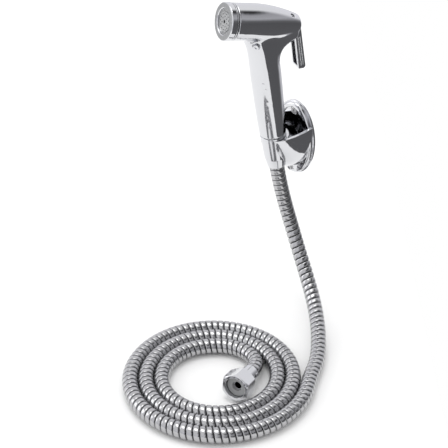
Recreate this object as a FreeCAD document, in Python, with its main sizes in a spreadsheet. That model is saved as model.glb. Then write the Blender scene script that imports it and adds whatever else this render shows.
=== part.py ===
"""Chrome trigger hand spray parked in a wall holder, with its coiled metal hose and supply nut.

Frame: +Z up, the wall is the plane Y = 0, the origin is the centre of the holder's back face and
everything stands on the -Y side. Lengths are millimetres and angles are degrees.
"""
import FreeCAD, Part
import math
import os
import Sketcher

Vector = FreeCAD.Vector
Placement = FreeCAD.Placement
Rotation = FreeCAD.Rotation

X_AXIS = Vector(1, 0, 0)
Z_AXIS = Vector(0, 0, 1)
ORIGIN = Vector(0, 0, 0)

doc = FreeCAD.newDocument("HandSpray")


# ---------------------------------------------------------------- driving dimensions

SIZES = {
    # where the hand spray sits: the cradle axis leans away from the wall going up
    "cradle_lean": 9.8,
    "cradle_offset": 25.7,
    "cradle_drop": 19.2,
    "handset_turn": -20.2,
    "running_gap": 0.3,
    "pin_gap": 0.05,
    # wall holder
    "plate_width": 48.0,
    "plate_height": 74.0,
    "plate_base": 2.0,
    "plate_thickness": 5.5,
    "plate_step": 1.2,
    "plate_round": 2.2,
    "recess_depth": 2.2,
    "recess_border": 4.5,
    "cup_width": 46.0,
    "cup_reach": 42.0,
    "cup_depth": 43.0,
    "cup_level": 15.0,
    "cup_wall": 2.6,
    "pocket_floor": 13.0,
    "collar_wall": 2.6,
    "rim_rise": 32.6,
    "screw_hole_d": 4.2,
    "screw_head_d": 7.8,
    "screw_up": 28.0,
    "screw_down": 32.0,
    # cone nut and the hose end it clamps
    "nut_foot_d": 16.8,
    "nut_waist_d": 20.8,
    "nut_top_d": 23.4,
    "nut_taper": 10.0,
    "nut_length": 33.0,
    "hose_d": 14.0,
    "hose_bore": 9.0,
    "crimp_wall": 0.45,
    "crimp_length": 10.0,
    "tail_d": 12.0,
    "tail_flange_d": 18.2,
    "tail_flange": 2.0,
    "tail_flange_rise": 19.5,
    "thread_d": 20.4,
    "union_washer": 2.0,
    # grip and the parts inside it
    "trim_d": 24.0,
    "trim_height": 1.7,
    "grip_foot_rise": 35.0,
    "grip_foot_d": 24.4,
    "neck_rise": 110.0,
    "neck_d": 27.6,
    "neck_top_rise": 137.0,
    "neck_reach": 4.0,
    "web_width": 18.4,
    "web_round": 2.6,
    "throat_flare": 3.0,
    "neck_pinch": 2.0,
    "spigot_d": 18.0,
    "spigot_length": 15.0,
    "spigot_ring": 2.0,
    "riser_d": 11.0,
    "riser_bore": 8.0,
    "riser_socket_rise": 118.0,
    "riser_below_barrel": 16.5,
    # barrel, measured along its own axis from where it crosses the grip's axis
    "barrel_rise": 150.2,
    "barrel_tilt": 21.0,
    "barrel_d": 32.4,
    "barrel_front": 27.4,
    "barrel_rear": 37.0,
    "barrel_rear_height": 15.4,
    "barrel_rear_width": 19.4,
    "barrel_shoulder": 10.0,
    "joint_ring": 1.0,
    "joint_gap": 0.8,
    "nozzle_face": 34.9,
    "nozzle_d": 32.8,
    "nozzle_mouth_d": 22.6,
    "nozzle_lip": 1.6,
    "nozzle_thread_d": 28.2,
    "nozzle_skirt": 4.5,
    # valve
    "insert_d": 25.0,
    "spray_face": 2.0,
    "spray_dome_d": 17.0,
    "jet_d": 1.3,
    "centre_jet_d": 3.0,
    "face_seal": 1.5,
    "strainer": 2.2,
    "valve_body_d": 22.4,
    "valve_rear": 14.0,
    "valve_cavity_d": 16.0,
    "valve_wall": 3.5,
    "seat_bore": 7.0,
    "seat_front": 8.0,
    "poppet_d": 11.0,
    "poppet": 2.0,
    "seat_seal": 1.5,
    "stem_d": 3.6,
    "stem_reach": 34.9,
    "o_ring": 1.8,
    "gland_d": 10.0,
    "gland_length": 5.5,
    "spring_d": 9.0,
    "spring_wire": 0.9,
    "spring_turns": 5.0,
    # trigger
    "pivot_back": 27.0,
    "pivot_up": 6.5,
    "pin_d": 2.6,
    "pin_length": 16.0,
    "boss_d": 6.0,
    "trigger_width": 12.0,
    "trigger_wall": 1.8,
    "trigger_back": 36.2,
    "trigger_depth": 6.8,
    "trigger_foot": 94.0,
    "trigger_head": 140.5,
    "trigger_round": 2.4,
    "slot_gap": 0.35,
    "slot_front": 22.6,
    "slot_low": 100.0,
    # throat plug
    "plug_d": 4.8,
    "plug_rise": 134.0,
    "plug_bearing": 46.0,
    "plug_root": 11.0,
    "plug_proud": 0.4,
    # loose coil of hose on the floor and the supply end
    "floor_drop": 157.8,
    "coil_side": 64.8,
    "coil_out": 169.2,
    "coil_bearing": 45.0,
    "coil_radius": 83.5,
    "coil_pitch": 14.1,
    "coil_turns": 2.75,
    "sleeve_d": 15.6,
    "sleeve_length": 14.0,
    "supply_rise": 10.6,
    "supply_tip": 8.0,
    "supply_nut_flats": 24.0,
    "supply_nut_length": 15.5,
    "supply_nut_back": 15.6,
    "supply_thread_d": 19.0,
    "supply_washer": 2.4,
    "supply_washer_bore": 9.0,
    "washer_inset": 4.0,
    "thread_relief": 0.3,
}

sheet = doc.addObject("Spreadsheet::Sheet", "Sizes")
for row, (alias, value) in enumerate(SIZES.items(), start=1):
    sheet.set(f"A{row}", alias)
    sheet.set(f"B{row}", str(value))
    sheet.setAlias(f"B{row}", alias)
doc.recompute()


class Size:
    """A length or angle: its present value, and the expression that keeps a property bound to it."""

    def __init__(self, value, text=None):
        self.value = float(value)
        self.text = text or f"({value})"

    def __add__(self, other):
        other = as_size(other)
        return Size(self.value + other.value, f"({self.text} + {other.text})")

    def __sub__(self, other):
        other = as_size(other)
        return Size(self.value - other.value, f"({self.text} - {other.text})")

    def __mul__(self, factor):
        factor = as_size(factor)
        return Size(self.value * factor.value, f"({self.text} * {factor.text})")

    def __truediv__(self, divisor):
        divisor = as_size(divisor)
        return Size(self.value / divisor.value, f"({self.text} / {divisor.text})")

    def __neg__(self):
        return Size(-self.value, f"(-1 * {self.text})")

    __radd__ = __add__
    __rmul__ = __mul__

    def __float__(self):
        return self.value


def as_size(number):
    return number if isinstance(number, Size) else Size(number)


def size(alias):
    """The sheet's value under this alias, as a Size bound to it."""
    return Size(sheet.get(alias), f"Sizes.{alias}")


# ---------------------------------------------------------------- frames

def frame_at(x, y, z, rotation=Rotation()):
    return Placement(Vector(float(x), float(y), float(z)), rotation)


cradle_frame = frame_at(0, -size("cradle_offset"), -size("cradle_drop"),
                        Rotation(X_AXIS, float(size("cradle_lean"))))
handset_frame = cradle_frame * frame_at(0, 0, 0, Rotation(Z_AXIS, float(size("handset_turn"))))
# In the barrel's frame Z runs forward to the nozzle, Y up and X to the side.
barrel_in_handset = frame_at(0, 0, size("barrel_rise"),
                             Rotation(X_AXIS, 90.0 - float(size("barrel_tilt"))))
barrel_frame = handset_frame * barrel_in_handset
coil_frame = frame_at(size("coil_side"), -size("coil_out"), -size("floor_drop"),
                      Rotation(Z_AXIS, float(size("coil_bearing"))))


# ---------------------------------------------------------------- modelling helpers

finished = []


def bind(item, **properties):
    """Sets each property to its size and keeps it bound to the sheet."""
    for name, value in properties.items():
        item.setExpression(name.replace("_", "."), as_size(value).text)
    return item


def stand(item, x, y, z, rotation=Rotation()):
    """Puts an item at a point of its own frame, bound to the sheet."""
    item.Placement = frame_at(x, y, z, rotation)
    return bind(item, Placement_Base_x=x, Placement_Base_y=y, Placement_Base_z=z)


def moved(item, placement):
    """Carries an item, with the place that it has in its own frame, into another frame."""
    for axis in "xyz":
        item.setExpression(f"Placement.Base.{axis}", None)
    item.Placement = placement * item.Placement
    return item


def rod(name, diameter, low, high, x=0, y=0):
    """A cylinder along Z between two heights."""
    item = doc.addObject("Part::Cylinder", name)
    bind(item, Radius=as_size(diameter) / 2, Height=as_size(high) - low)
    return stand(item, x, y, low)


def block(name, x_range, y_range, z_range):
    """A box between two values on each axis."""
    item = doc.addObject("Part::Box", name)
    bind(item, Length=as_size(x_range[1]) - x_range[0], Width=as_size(y_range[1]) - y_range[0],
         Height=as_size(z_range[1]) - z_range[0])
    return stand(item, x_range[0], y_range[0], z_range[0])


def join(name, *pieces):
    item = doc.addObject("Part::MultiFuse", name)
    item.Shapes = list(pieces)
    item.Refine = True
    return item


def cut(name, base, *tools):
    """Takes the tools away from the base one after another."""
    for index, tool in enumerate(tools, start=1):
        item = doc.addObject("Part::Cut", name if index == len(tools) else f"{name}_{index}")
        item.Base = base
        item.Tool = tool
        item.Refine = False
        base = item
    return base


def common(name, first, second):
    item = doc.addObject("Part::MultiCommon", name)
    item.Shapes = [first, second]
    return item


def sketch_on(body, name, role):
    """A sketch on one of the body's own origin planes."""
    sketch = body.newObject("Sketcher::SketchObject", name)
    plane = next(f for f in body.Origin.OriginFeatures if f.Role == role)
    sketch.AttachmentSupport = [(plane, "")]
    sketch.MapMode = "FlatFace"
    return sketch


def closed_outline(sketch, points):
    """Straight lines through the points, each corner held by its two distances from the origin."""
    ends = [Vector(float(a), float(b), 0) for a, b in points]
    for start, end in zip(ends, ends[1:] + ends[:1]):
        sketch.addGeometry(Part.LineSegment(start, end), False)
    for index in range(len(points)):
        follower = (index + 1) % len(points)
        sketch.addConstraint(Sketcher.Constraint("Coincident", index, 2, follower, 1))
    for index, point in enumerate(points):
        for kind, value, mark in (("DistanceX", point[0], "a"), ("DistanceY", point[1], "b")):
            value = as_size(value)
            sketch.addConstraint(Sketcher.Constraint(kind, -1, 1, index, 1, value.value))
            sketch.renameConstraint(sketch.ConstraintCount - 1, f"{mark}{index}")
            sketch.setExpression(f"Constraints.{mark}{index}", value.text)


def turned(name, points):
    """A piece turned about Z from its half section, given as (radius, height) corners."""
    body = doc.addObject("PartDesign::Body", name)
    sketch = sketch_on(body, name + "_section", "XZ_Plane")
    closed_outline(sketch, points)
    revolution = body.newObject("PartDesign::Revolution", name + "_turn")
    revolution.Profile = sketch
    revolution.ReferenceAxis = (sketch, ["V_Axis"])
    revolution.Angle = 360.0
    sketch.Visibility = False
    return body


def plate_from(name, role, points, thickness):
    """A prism padded evenly to both sides of an origin plane."""
    body = doc.addObject("PartDesign::Body", name)
    sketch = sketch_on(body, name + "_outline", role)
    closed_outline(sketch, points)
    pad = body.newObject("PartDesign::Pad", name + "_pad")
    pad.Profile = sketch
    pad.Midplane = True
    bind(pad, Length=thickness)
    return body


def rounded(name, base, radius, chosen):
    """Fillets the base's edges for which chosen(edge) is true."""
    doc.recompute()
    item = doc.addObject("Part::Fillet", name)
    item.Base = base
    item.Edges = [(index, float(radius), float(radius))
                  for index, edge in enumerate(base.Shape.Edges, start=1) if chosen(edge)]
    return item


def oval(name, across, along, level, centre=0, turned_by=90.0):
    """An ellipse in the XY plane at a height. Its longer half-axis lies along Y, or X if turned by 0."""
    item = doc.addObject("Part::Ellipse", name)
    bind(item, MajorRadius=along, MinorRadius=across)
    return stand(item, 0, centre, level, Rotation(Z_AXIS, turned_by))


def loft(name, sections):
    item = doc.addObject("Part::Loft", name)
    item.Sections = sections
    item.Solid = True
    return item


def shaped(name, shape):
    item = doc.addObject("Part::Feature", name)
    item.Shape = shape
    return item


def finish(item, label, placement=Placement()):
    """Gives a sub-part its own label and place, and lists it for export."""
    item.Label = label
    finished.append(moved(item, placement))


def extruded(name, profile, length):
    """A solid prism of a closed curve along its own +Z."""
    item = doc.addObject("Part::Extrusion", name)
    item.Base = profile
    item.DirMode = "Custom"
    item.Dir = Z_AXIS
    item.Solid = True
    bind(item, LengthFwd=length)
    return item


def cross_rod(name, diameter, length, y, z):
    """A cylinder along X, centred on X = 0."""
    item = doc.addObject("Part::Cylinder", name)
    bind(item, Radius=as_size(diameter) / 2, Height=length)
    return stand(item, -(as_size(length) / 2), y, z, Rotation(Vector(0, 1, 0), 90))


def ring(name, section, inner_d, level):
    """A round-section ring whose bore clears inner_d."""
    item = doc.addObject("Part::Torus", name)
    bind(item, Radius1=as_size(inner_d) / 2 + as_size(section) / 2, Radius2=as_size(section) / 2)
    return stand(item, 0, 0, level)


# ---------------------------------------------------------------- wall holder

def nut_outline(offset, low, high):
    """Half section of the cone nut's outside grown by an offset, between two heights."""
    foot = size("nut_foot_d") / 2 + offset
    waist = size("nut_waist_d") / 2 + offset
    top = size("nut_top_d") / 2 + offset
    return [(0, low), (foot, low), (foot, 0), (waist, size("nut_taper")),
            (top, size("nut_length")), (top, high), (0, high)]


def make_wall_bracket():
    """Stepped oval plate with a half-egg cup whose two arms grip the cone nut."""
    half_width = size("plate_width") / 2
    half_height = size("plate_height") / 2
    step = size("plate_step")
    thickness = size("plate_thickness")
    out_of_wall = Placement(ORIGIN, Rotation(X_AXIS, 90))

    base = extruded("plate_foot", oval("plate_foot_oval", half_width, half_height, 0),
                    size("plate_base"))
    top_oval = oval("plate_dome_oval", half_width - step, half_height - step, 0)
    dome = rounded("plate_dome", extruded("plate_slab", top_oval, thickness), size("plate_round"),
                   lambda edge: edge.BoundBox.ZMin > float(thickness) - 0.01)
    plate = moved(join("plate", base, dome), out_of_wall)

    # the cup: everything of a half egg that is under the rim and in front of the wall
    radii = [size("cup_depth"), size("cup_width") / 2, size("cup_reach")]
    eggs = []
    for name, shrink in (("egg_outside", as_size(0)), ("egg_inside", size("cup_wall"))):
        egg = doc.addObject("Part::Ellipsoid", name)
        bind(egg, Radius1=radii[0] - shrink, Radius2=radii[1] - shrink, Radius3=radii[2] - shrink)
        eggs.append(stand(egg, 0, 0, size("cup_level")))
    reach = size("cup_reach") * 2
    rise = size("rim_rise")
    under_rim = moved(block("under_rim", (-reach, reach), (-reach, reach), (-reach, rise)),
                      cradle_frame)
    front_room = block("front_room", (-reach, reach), (-reach, -(size("plate_base") + 1)),
                       (-reach, reach))
    cup_room = common("cup_room", under_rim, front_room)
    solid_cup = common("solid_cup", eggs[0], cup_room)

    gap = size("running_gap")
    collar_form = moved(turned("collar_form", nut_outline(gap + size("collar_wall"), -4, rise * 2)),
                        cradle_frame)
    seat = moved(turned("nut_seat", nut_outline(gap, -40, 80)), cradle_frame)
    pocket_room = block("pocket_room", (-reach, reach), (-reach, reach),
                        (-size("pocket_floor"), reach))
    pocket = cut("cup_pocket", common("egg_hollow", eggs[1], pocket_room), collar_form)

    border = size("recess_border") + step
    recess_floor = thickness - size("recess_depth")
    recess_oval = oval("recess_oval", half_width - border, half_height - border, recess_floor)
    recess_prism = moved(extruded("recess_prism", recess_oval, thickness), out_of_wall)
    recess = common("recess", recess_prism,
                    block("recess_room", (-reach, reach), (-reach, reach), (0, reach)))

    holes = []
    for mark, level, seat_depth in (("upper", size("screw_up"), recess_floor),
                                    ("lower", -size("screw_down"), thickness)):
        hole = rod(f"{mark}_hole", size("screw_hole_d"), -1, thickness * 2, 0, level)
        head = rod(f"{mark}_head_seat", size("screw_head_d"), seat_depth - 1.2, thickness * 2, 0, level)
        holes.append(moved(join(f"{mark}_screw_way", hole, head), out_of_wall))

    hollow_cup = cut("hollow_cup", solid_cup, pocket, seat)
    drilled_plate = cut("drilled_plate", plate, recess, *holes)
    finish(join("holder", drilled_plate, hollow_cup), "wall_bracket")


# ---------------------------------------------------------------- hose end and cone nut

CRIMP_TOP = size("crimp_length") - 2


def make_cone_nut():
    gap = size("pin_gap")
    mouth = size("hose_d") / 2 + size("crimp_wall") + gap
    neck = size("tail_d") / 2 + gap
    thread = size("thread_d") / 2
    shoulder = size("tail_flange_rise") - gap
    section = [(mouth, 0), (size("nut_foot_d") / 2, 0), (size("nut_waist_d") / 2, size("nut_taper")),
               (size("nut_top_d") / 2, size("nut_length")), (thread, size("nut_length")),
               (thread, shoulder), (neck, shoulder), (neck, CRIMP_TOP + gap), (mouth, CRIMP_TOP + gap)]
    finish(turned("cone_nut_body", section), "cone_nut", handset_frame)


def tail_section(neck_top, flange, flange_d, barb_low, barb_top):
    """Half section of a hose tail: barb in the hose, neck through the nut, flange behind it."""
    bore = size("hose_bore") / 2 - 1.2
    barb = size("hose_bore") / 2
    neck = size("tail_d") / 2
    return [(bore, barb_low), (barb, barb_low), (barb, barb_top), (neck, barb_top), (neck, neck_top),
            (flange_d / 2, neck_top), (flange_d / 2, neck_top + flange), (bore, neck_top + flange)]


def tube(name, outside, inside, low, high):
    return cut(name, rod(name + "_rod", outside, low, high), rod(name + "_bore", inside, low - 1, high + 1))


def make_hose_top():
    """Hose tail, the hose's crimped end and its sleeve; they stay still while the nut turns."""
    low = CRIMP_TOP - size("crimp_length")
    section = tail_section(size("tail_flange_rise"), size("tail_flange"), size("tail_flange_d"),
                           low, CRIMP_TOP)
    finish(turned("hose_tail_top_body", section), "hose_tail_top", cradle_frame)
    finish(tube("hose_stub_top_tube", size("hose_d"), size("hose_bore"), low, CRIMP_TOP),
           "hose_stub_top", cradle_frame)
    sleeve_d = size("hose_d") + size("crimp_wall") * 2
    finish(tube("crimp_sleeve_top_tube", sleeve_d, size("hose_d"), low, CRIMP_TOP),
           "crimp_sleeve_top", cradle_frame)


# ---------------------------------------------------------------- grip: inlet, trim, riser

WASHER_LOW = size("tail_flange_rise") + size("tail_flange")
INLET_LOW = WASHER_LOW + size("union_washer")
SPIGOT_TOP = size("grip_foot_rise") + size("spigot_length")
RISER_SEAT = SPIGOT_TOP - 6
RISER_TOP = size("barrel_rise") - size("riser_below_barrel")


def make_inlet():
    """Threaded inlet with a spigot up the grip, its seal ring, the union washer and the trim ring."""
    thread = size("thread_d") / 2
    spigot = size("spigot_d") / 2
    groove = spigot - size("spigot_ring") + 0.1
    ring_level = size("grip_foot_rise") + 6
    half_ring = size("spigot_ring") / 2
    bore = size("riser_bore") / 2
    socket = size("riser_d") / 2
    foot = size("grip_foot_rise")
    section = [(bore, INLET_LOW), (thread, INLET_LOW), (thread, foot), (spigot, foot),
               (spigot, ring_level - half_ring), (groove, ring_level - half_ring),
               (groove, ring_level + half_ring), (spigot, ring_level + half_ring),
               (spigot, SPIGOT_TOP), (socket, SPIGOT_TOP), (socket, RISER_SEAT), (bore, RISER_SEAT)]
    finish(turned("inlet_connector_body", section), "inlet_connector", handset_frame)
    finish(ring("inlet_ring_torus", size("spigot_ring"), groove * 2, ring_level), "inlet_o_ring",
           handset_frame)
    finish(tube("union_washer_tube", size("tail_flange_d"), size("riser_bore"), WASHER_LOW, INLET_LOW),
           "union_washer", handset_frame)
    trim_low = foot - size("trim_height")
    finish(tube("trim_ring_tube", size("trim_d"), size("thread_d"), trim_low, foot), "trim_ring",
           handset_frame)
    finish(tube("riser_tube_pipe", size("riser_d"), size("riser_bore"), RISER_SEAT, RISER_TOP),
           "riser_tube", handset_frame)


# ---------------------------------------------------------------- handset casting

def grip_form():
    """The round grip, and the neck that flares from it into the barrel, with a web behind."""
    foot = size("grip_foot_rise")
    foot_r = size("grip_foot_d") / 2
    radius = size("neck_d") / 2
    steps = 5
    grip_stations = []
    for index in range(steps + 1):
        part = index / steps
        girth = foot_r + (radius - foot_r) * (part * (2 - part))
        level = foot + (size("neck_rise") - foot) * part
        grip_stations.append(oval(f"grip_station_{index}", girth, girth, level))
    rounding = turned("grip_rounding", [(foot_r - 1.5, foot - 1), (foot_r - 1.5, foot),
                                        (foot_r - 0.75, foot + 0.2), (foot_r - 0.2, foot + 0.75),
                                        (foot_r + 0.3, foot + 2), (foot_r + 3, foot + 2),
                                        (foot_r + 3, foot - 1)])
    grip = cut("grip_solid", loft("grip_loft", grip_stations), rounding)

    rise = size("neck_top_rise") - size("neck_rise")
    neck_stations = []
    for index in range(steps + 2):
        part = min(index / steps, 1.0)
        back = radius + size("neck_reach") * (part * part * (3 - 2 * part))
        front = radius + size("throat_flare") * part**3
        side = radius - size("neck_pinch") * part
        level = size("neck_rise") + rise * (index / steps)
        neck_stations.append(oval(f"neck_station_{index}", side, (back + front) / 2, level,
                                  (back - front) / 2))
    return grip, loft("neck_loft", neck_stations)


def web_form():
    """Flat-sided web behind the neck, down from the barrel's rear; the trigger swings in it."""
    rear = size("barrel_rear") - 0.1
    floor_y, floor_z = in_handset(-12.4, -rear + 2.5)
    heel_y, heel_z = in_handset(-9.6, -rear)
    roof_y, roof_z = in_handset(2.0, -rear)
    base = size("neck_rise")
    profile = [(0, base), (11.5, base), (13.8, base + 7), (16.4, base + 10.8), (20.0, base + 13.6),
               (floor_y, floor_z), (heel_y, heel_z), (roof_y, roof_z), (0, base + 37)]
    slab = plate_from("web_slab", "YZ_Plane", profile, size("web_width"))
    return rounded("web_soft", slab, size("web_round"),
                   lambda edge: edge.BoundBox.XLength < 0.01 and edge.BoundBox.ZMax < 141)


def barrel_form():
    """The barrel: round at the nozzle, narrowing to a smaller oval at the rear."""
    radius = size("barrel_d") / 2
    shoulder = size("barrel_shoulder")
    sections = [oval("barrel_mouth", radius, radius, size("barrel_front"), 0, 0)]
    steps = 5
    for index in range(steps + 1):
        part = index / steps
        high = radius - (radius - size("barrel_rear_height") / 2) * part**2
        wide = radius - (radius - size("barrel_rear_width") / 2) * part**2
        level = shoulder - (shoulder + size("barrel_rear")) * part
        sections.append(oval(f"barrel_station_{index}", high, wide, level, 0, 0))
    form = loft("barrel_loft", sections)
    rear = -float(size("barrel_rear"))
    return rounded("barrel_solid", form, 2.4, lambda edge: edge.BoundBox.ZMax < rear + 0.01)


def in_handset(up, forward):
    """(y, z) in the handset frame of a point of the barrel's frame."""
    spot = barrel_in_handset.multVec(Vector(0, float(up), float(forward)))
    return spot.y, spot.z


def pivot_in_handset():
    return in_handset(size("pivot_up"), -size("pivot_back"))


def slot_tools(gap):
    """Room for the trigger: a slot in the barrel's rear and down through the web."""
    half = size("trigger_width") / 2 + gap
    rear = size("barrel_rear") * 2
    up = size("pivot_up") - 1.2
    across = block("slot_in_barrel", (-half, half), (-16, up), (-rear, -size("slot_front")))
    hub = cross_rod("slot_hub", size("boss_d") + gap * 2, half * 2, size("pivot_up"),
                    -size("pivot_back"))
    upper = moved(join("slot_upper", across, hub), barrel_in_handset)
    lower = block("slot_in_web", (-half, half), (size("slot_front"), 60),
                  (size("slot_low"), size("trigger_head")))
    return upper, lower


def plug_frame():
    """On the throat, part of the way round to the side; Z points out of the casting."""
    bearing = Rotation(Z_AXIS, float(size("plug_bearing")))
    outward = Rotation(X_AXIS, 90.0)
    return frame_at(0, 0, size("plug_rise"), bearing) * frame_at(0, 0, 0, outward)


def make_handset_body():
    """Hollow chromed casting with the valve bore, the riser bore and the trigger slot."""
    grip, neck = grip_form()
    outside = join("casting_form", grip, neck, web_form(), moved(barrel_form(), barrel_in_handset))
    gap = size("pin_gap")
    skirt_low = size("barrel_front") - size("nozzle_skirt")
    front = rod("nozzle_thread_bore", size("nozzle_thread_d"), skirt_low, size("barrel_front") + 2)
    valve = rod("valve_bore", size("valve_body_d") + gap * 2, -size("valve_rear"), skirt_low + 1)
    gland = rod("gland_bore", size("gland_d"), -size("slot_front") - 1, -size("valve_rear") + 1)
    pin = cross_rod("pin_way", size("pin_d"), size("pin_length"), size("pivot_up"), -size("pivot_back"))
    barrel_tools = moved(join("barrel_tools", front, valve, gland, pin), barrel_in_handset)
    foot = size("grip_foot_rise")
    hollow = rod("grip_hollow", size("spigot_d"), foot - 2, size("riser_socket_rise") + 1)
    riser = rod("riser_socket", size("riser_d"), size("riser_socket_rise"), RISER_TOP)
    passage = rod("water_passage", size("riser_bore"), RISER_TOP - 1, size("barrel_rise"))
    plug_way = moved(rod("plug_way", size("plug_d"), size("plug_root"), 30), plug_frame())
    upper, lower = slot_tools(size("slot_gap"))
    finish(cut("casting", outside, barrel_tools, hollow, riser, passage, plug_way, upper, lower),
           "handset_body", handset_frame)


def make_throat_plug():
    top = size("neck_d") / 2 + 1.0 + size("plug_proud")
    plug = rod("plug_rod", size("plug_d"), size("plug_root"), top)
    dimple = rod("plug_dimple", size("plug_d") / 2, top - 0.8, top + 1)
    finish(cut("plug", plug, dimple), "throat_plug", handset_frame * plug_frame())


# ---------------------------------------------------------------- nozzle

def make_nozzle():
    """Screwed nozzle ring, the perforated spray face, its seal, the strainer and a joint ring."""
    face = size("nozzle_face")
    outer = size("nozzle_d") / 2
    mouth = size("nozzle_mouth_d") / 2
    inside = size("insert_d") / 2
    skirt = size("nozzle_thread_d") / 2
    lip_low = face - size("nozzle_lip")
    ring_low = size("barrel_front") + size("joint_gap")
    collar_low = ring_low + size("joint_ring") + size("joint_gap")
    skirt_low = size("barrel_front") - size("nozzle_skirt")
    section = [(inside, skirt_low), (skirt, skirt_low), (skirt, collar_low), (outer, collar_low),
               (outer, face - 0.7), (outer - 0.7, face), (mouth + 0.6, face), (mouth, face - 0.6),
               (mouth, lip_low), (inside, lip_low)]
    finish(turned("nozzle_ring_body", section), "nozzle_ring", barrel_frame)
    finish(tube("joint_ring_tube", size("nozzle_d") - 0.6, size("nozzle_thread_d"), ring_low,
                ring_low + size("joint_ring")), "joint_ring", barrel_frame)

    spray_low = lip_low - size("spray_face")
    dome = size("spray_dome_d") / 2
    spray = turned("spray_disc", [(0, spray_low), (inside, spray_low), (inside, lip_low),
                                  (dome + 1.6, lip_low), (dome + 1.2, lip_low - 0.6),
                                  (dome + 0.5, lip_low - 0.6), (dome, lip_low + 0.4),
                                  (0, lip_low + 0.7)])
    jets = [rod("jet_centre", size("centre_jet_d"), spray_low - 1, face)]
    for count, radius in ((7, dome * 0.5), (13, dome * 0.83)):
        for index in range(count):
            angle = 2 * math.pi * index / count
            jets.append(rod(f"jet_{count}_{index}", size("jet_d"), spray_low - 1, face,
                            radius * math.cos(angle), radius * math.sin(angle)))
    finish(cut("spray_disc_drilled", spray, join("jets", *jets)), "spray_face", barrel_frame)

    seal_low = spray_low - size("face_seal")
    finish(tube("face_seal_tube", size("insert_d"), size("insert_d") - 4, seal_low, spray_low),
           "face_seal", barrel_frame)
    strainer_low = seal_low - size("strainer")
    disc = rod("strainer_disc", size("insert_d"), strainer_low, seal_low)
    ways = []
    for index in range(8):
        angle = 2 * math.pi * index / 8
        ways.append(rod(f"strainer_way_{index}", 2.8, strainer_low - 1, seal_low + 1,
                        7.6 * math.cos(angle), 7.6 * math.sin(angle)))
    finish(cut("strainer_drilled", disc, join("ways", *ways)), "spray_strainer", barrel_frame)
    return strainer_low


# ---------------------------------------------------------------- valve

def make_valve(strainer_low):
    """Cartridge with the seat, the stem with poppet and seal, the packing ring and gland, the spring."""
    gap = size("pin_gap")
    outer = size("valve_body_d") / 2
    flange = size("insert_d") / 2
    shoulder = size("barrel_front") - size("nozzle_skirt")
    cavity = size("valve_cavity_d") / 2
    seat_front = size("seat_front")
    seat_rear = seat_front - size("valve_wall")
    chamber_low = -size("valve_rear") + size("valve_wall") * 2
    stem_way = size("stem_d") / 2 + gap
    packing = size("stem_d") / 2 + gap + size("o_ring")
    rear = -size("valve_rear")
    section = [(stem_way, chamber_low), (stem_way, rear + size("o_ring")),
               (packing, rear + size("o_ring")), (packing, rear), (outer, rear), (outer, shoulder),
               (flange, shoulder), (flange, strainer_low), (cavity, strainer_low),
               (cavity, seat_front), (size("seat_bore") / 2, seat_front),
               (size("seat_bore") / 2, seat_rear), (cavity - 1.5, seat_rear),
               (cavity - 1.5, chamber_low)]
    inlet = moved(rod("cartridge_inlet", size("riser_bore"), size("barrel_rise") - 20,
                      size("barrel_rise")), barrel_in_handset.inverse())
    finish(cut("cartridge", turned("cartridge_body", section), inlet), "valve_body", barrel_frame)

    seal_low = seat_front + gap
    poppet_low = seal_low + size("seat_seal")
    poppet_top = poppet_low + size("poppet")
    stem = size("stem_d") / 2
    tip = -size("stem_reach")
    stem_section = [(0, tip), (stem * 0.5, tip), (stem, tip + 1), (stem, poppet_low),
                    (size("poppet_d") / 2, poppet_low), (size("poppet_d") / 2, poppet_top),
                    (size("spring_d") / 2 - size("spring_wire") - 0.4, poppet_top),
                    (size("spring_d") / 2 - size("spring_wire") - 0.4, poppet_top + 2),
                    (0, poppet_top + 2)]
    finish(turned("valve_stem_body", stem_section), "valve_stem", barrel_frame)
    finish(tube("seat_seal_tube", size("poppet_d") - 0.4, size("stem_d"), seal_low, poppet_low),
           "seat_seal", barrel_frame)
    finish(ring("stem_ring_torus", size("o_ring"), size("stem_d") + gap * 2, rear + size("o_ring") / 2),
           "stem_o_ring", barrel_frame)
    gland = tube("gland_tube", size("gland_d"), size("stem_d") + gap * 2, rear - size("gland_length"),
                 rear)
    finish(gland, "gland_nut", barrel_frame)

    wire = size("spring_wire")
    mean = size("spring_d") / 2 - wire / 2
    helix = doc.addObject("Part::Helix", "spring_line")
    length = strainer_low - poppet_top - wire
    bind(helix, Height=length, Pitch=length / size("spring_turns"), Radius=mean)
    section = doc.addObject("Part::Circle", "spring_section")
    bind(section, Radius=wire / 2)
    stand(section, mean, 0, 0, Rotation(X_AXIS, 90))
    doc.recompute()
    coil = doc.addObject("Part::Sweep", "spring_coil")
    coil.Sections = [section]
    coil.Spine = (helix, [f"Edge{n + 1}" for n in range(len(helix.Shape.Edges))])
    coil.Solid = True
    coil.Frenet = True
    start = float(poppet_top + wire / 2)
    finish(coil, "valve_spring", barrel_frame * frame_at(0, 0, start))


# ---------------------------------------------------------------- trigger

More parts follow.
